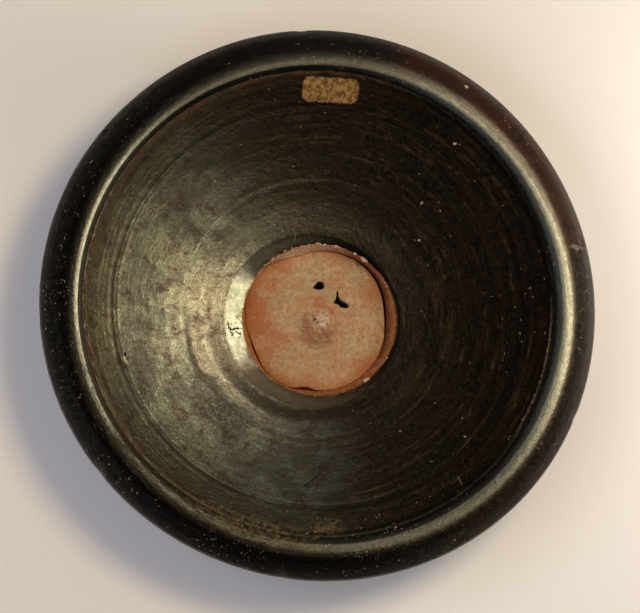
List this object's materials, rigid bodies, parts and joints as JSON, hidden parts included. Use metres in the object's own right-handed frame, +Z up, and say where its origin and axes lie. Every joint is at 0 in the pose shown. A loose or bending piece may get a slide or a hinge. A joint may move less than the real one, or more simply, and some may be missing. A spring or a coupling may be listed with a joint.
{
  "type": "footed plate",
  "caption": "Black-gloss pottery plate with a falling convex rim, a ring foot and a loose bare clay disc in the opening of its floor.",
  "frame": {"origin": "on the table, under the middle of the plate", "axes": "+Z up along the plate's axis, out of the bowl; +X and +Y are the right and the top of the plate as seen from above, with the disc's round hole on the +Y side"},
  "size_m": [0.2485, 0.2513, 0.0471],
  "materials": {
    "black_gloss": "worn black slip, satin to glossy, brown where thin",
    "bare_clay": "matt unglazed red-buff clay"
  },
  "bodies": {
    "root": {"plate": "black_gloss", "centre_disc": "bare_clay"}
  },
  "joints": []
}
